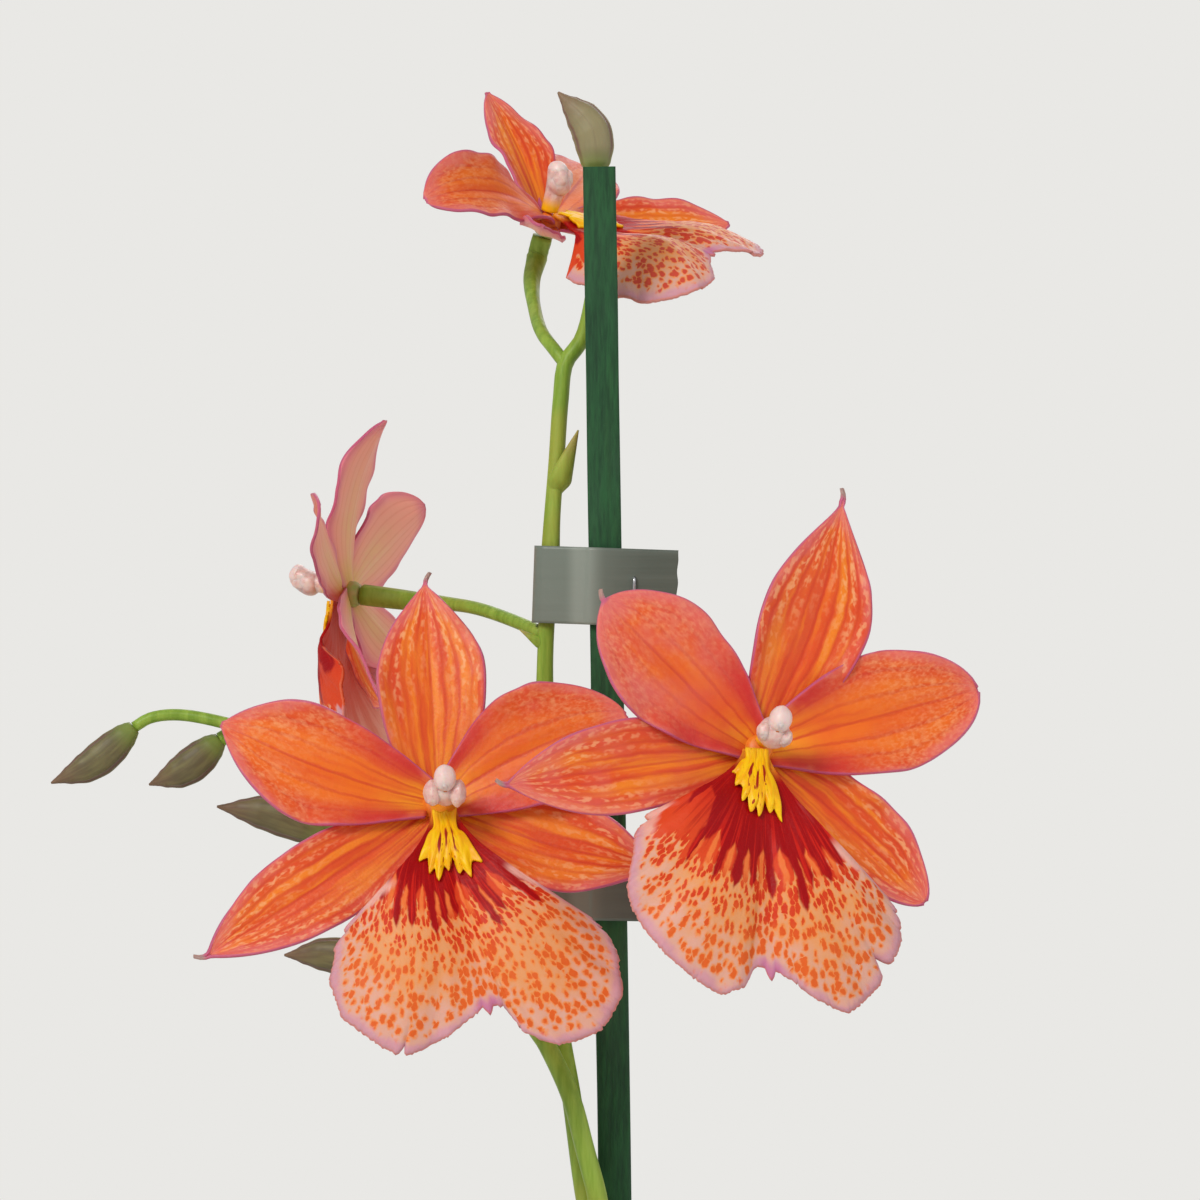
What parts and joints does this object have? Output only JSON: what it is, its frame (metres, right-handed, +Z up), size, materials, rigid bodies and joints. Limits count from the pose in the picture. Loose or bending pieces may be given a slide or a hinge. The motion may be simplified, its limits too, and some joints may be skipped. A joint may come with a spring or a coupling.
{
  "type": "potted orchid",
  "caption": "Potted hybrid orchid with a staked flower spike, orange star-shaped blooms with broad spotted lips, closed buds, strap leaves and a plain plastic pot.",
  "frame": {"origin": "centre of the pot's flat underside", "axes": "+Z up along the pot's axis, -Y towards the side that the open blooms face, +X to the right seen from there"},
  "size_m": [0.3288, 0.2743, 0.5522],
  "materials": {
    "pot_plastic": "matte moulded plastic",
    "bark": "rough pine bark chips",
    "pseudobulb": "smooth ridged plant skin",
    "leaf": "satin leaf",
    "stem": "satin green stem",
    "bud": "matte closed bud",
    "tepal": "soft petal tissue",
    "lip": "soft petal tissue",
    "callus": "waxy yellow tissue",
    "column": "waxy pale tissue",
    "stake_wood": "green dyed split wood",
    "tie_tape": "smooth tying tape",
    "staple_wire": "bare wire"
  },
  "bodies": {
    "root": {"pot": "pot_plastic", "bark_mix": "bark", "pseudobulb_1": "pseudobulb", "pseudobulb_2": "pseudobulb", "pseudobulb_3": "pseudobulb", "leaf_1": "leaf", "leaf_2": "leaf", "leaf_3": "leaf", "leaf_4": "leaf", "leaf_5": "leaf", "leaf_6": "leaf", "leaf_7": "leaf", "leaf_8": "leaf", "spike": "stem", "bud_1": "bud", "bud_2": "bud", "bud_3": "bud", "bud_4": "bud", "bud_5": "bud", "bloom_1_tepals": "tepal", "bloom_1_lip": "lip", "bloom_1_callus": "callus", "bloom_1_column": "column", "bloom_2_tepals": "tepal", "bloom_2_lip": "lip", "bloom_2_callus": "callus", "bloom_2_column": "column", "bloom_3_tepals": "tepal", "bloom_3_lip": "lip", "bloom_3_callus": "callus", "bloom_3_column": "column", "bloom_4_tepals": "tepal", "bloom_4_lip": "lip", "bloom_4_callus": "callus", "bloom_4_column": "column", "stake": "stake_wood", "tie_upper": "tie_tape", "staple_upper": "staple_wire", "tie_lower": "tie_tape", "staple_lower": "staple_wire"}
  },
  "joints": []
}
